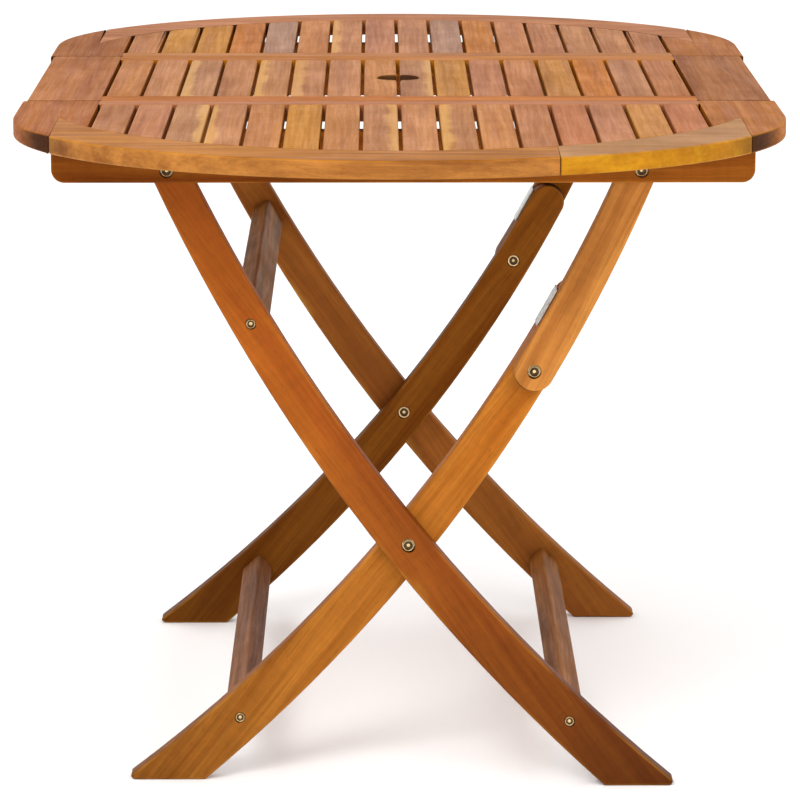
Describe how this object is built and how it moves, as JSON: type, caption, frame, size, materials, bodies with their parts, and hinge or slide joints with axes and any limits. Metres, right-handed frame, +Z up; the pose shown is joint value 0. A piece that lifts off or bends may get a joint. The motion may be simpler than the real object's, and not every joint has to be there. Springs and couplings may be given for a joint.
{
  "type": "folding picnic table",
  "caption": "Oval-ended slatted garden table with a parasol hole on crossed, knee-jointed wooden legs that fold sideways under the top.",
  "frame": {"origin": "on the floor under the middle of the tabletop", "axes": "+Z up, +X across the top towards the side the feet fold to, -Y towards the end with the longer overhang"},
  "size_m": [0.82, 1.36, 0.75],
  "materials": {
    "top_wood": "oiled, open grain",
    "amber_wood": "oiled",
    "yellow_wood": "oiled sapwood",
    "red_wood": "oiled",
    "gold_wood": "oiled",
    "grey_wood": "oiled, duller",
    "brass": "satin plated",
    "zinc": "zinc plated"
  },
  "bodies": {
    "top": {"apron_front": "amber_wood", "apron_rear": "amber_wood", "batten_left": "grey_wood", "batten_right": "grey_wood", "batten_screws": "zinc", "front_bow_rail": "amber_wood", "front_bow_rail_end": "yellow_wood", "front_end_board_left": "top_wood", "front_end_board_right": "top_wood", "front_inner_rail": "top_wood", "front_slats": "top_wood", "mid_end_board_left": "top_wood", "mid_end_board_right": "top_wood", "mid_hole_slats": "top_wood", "mid_rail_front": "top_wood", "mid_rail_rear": "top_wood", "mid_slats": "top_wood", "pivot_bolts": "brass", "pivot_nuts": "zinc", "pivot_washers": "brass", "rear_bow_rail": "amber_wood", "rear_end_board_left": "top_wood", "rear_end_board_right": "top_wood", "rear_inner_rail": "top_wood", "rear_slats": "top_wood"},
    "outer_legs": {"cross_bolts": "brass", "cross_washers": "brass", "outer_leg_front": "red_wood", "outer_leg_rear": "red_wood", "outer_lower_stretcher": "grey_wood", "outer_stretcher_bolts": "brass", "outer_upper_stretcher": "grey_wood"},
    "inner_legs": {"cross_nuts": "brass", "inner_leg_front": "gold_wood", "inner_leg_rear": "gold_wood", "inner_stretcher": "grey_wood", "inner_stretcher_bolts": "brass", "stop_plate_front": "zinc", "stop_plate_rear": "zinc", "stop_plate_screws": "zinc"},
    "front_link": {"knee_bolt_front": "brass", "knee_link_front": "gold_wood", "knee_nut_front": "brass", "knee_washer_front": "brass"},
    "rear_link": {"knee_bolt_rear": "brass", "knee_link_rear": "gold_wood", "knee_nut_rear": "brass", "knee_washer_rear": "brass"}
  },
  "joints": [
    {"name": "outer_legs_fold", "type": "hinge", "parent": "top", "child": "outer_legs", "pos_m": [-0.24925, 0.1, 0.688], "axis": [0, -1, 0], "range_deg": [0, 48.8]},
    {"name": "front_link_fold", "type": "hinge", "parent": "top", "child": "front_link", "pos_m": [0.25897, -0.282, 0.688], "axis": [0, 1, 0], "range_deg": [0, 62]},
    {"name": "rear_link_fold", "type": "hinge", "parent": "top", "child": "rear_link", "pos_m": [0.25897, 0.489, 0.688], "axis": [0, 1, 0], "range_deg": [0, 62]},
    {"name": "knee_fold", "type": "hinge", "parent": "front_link", "child": "inner_legs", "pos_m": [0.14616, -0.268, 0.465], "axis": [0, -1, 0], "range_deg": [0, 169.9]}
  ],
  "couplings": [
    {"joint": "front_link_fold", "follows": "outer_legs_fold", "ratio": 1.2705},
    {"joint": "rear_link_fold", "follows": "outer_legs_fold", "ratio": 1.2705},
    {"joint": "knee_fold", "follows": "outer_legs_fold", "ratio": 3.4815}
  ]
}
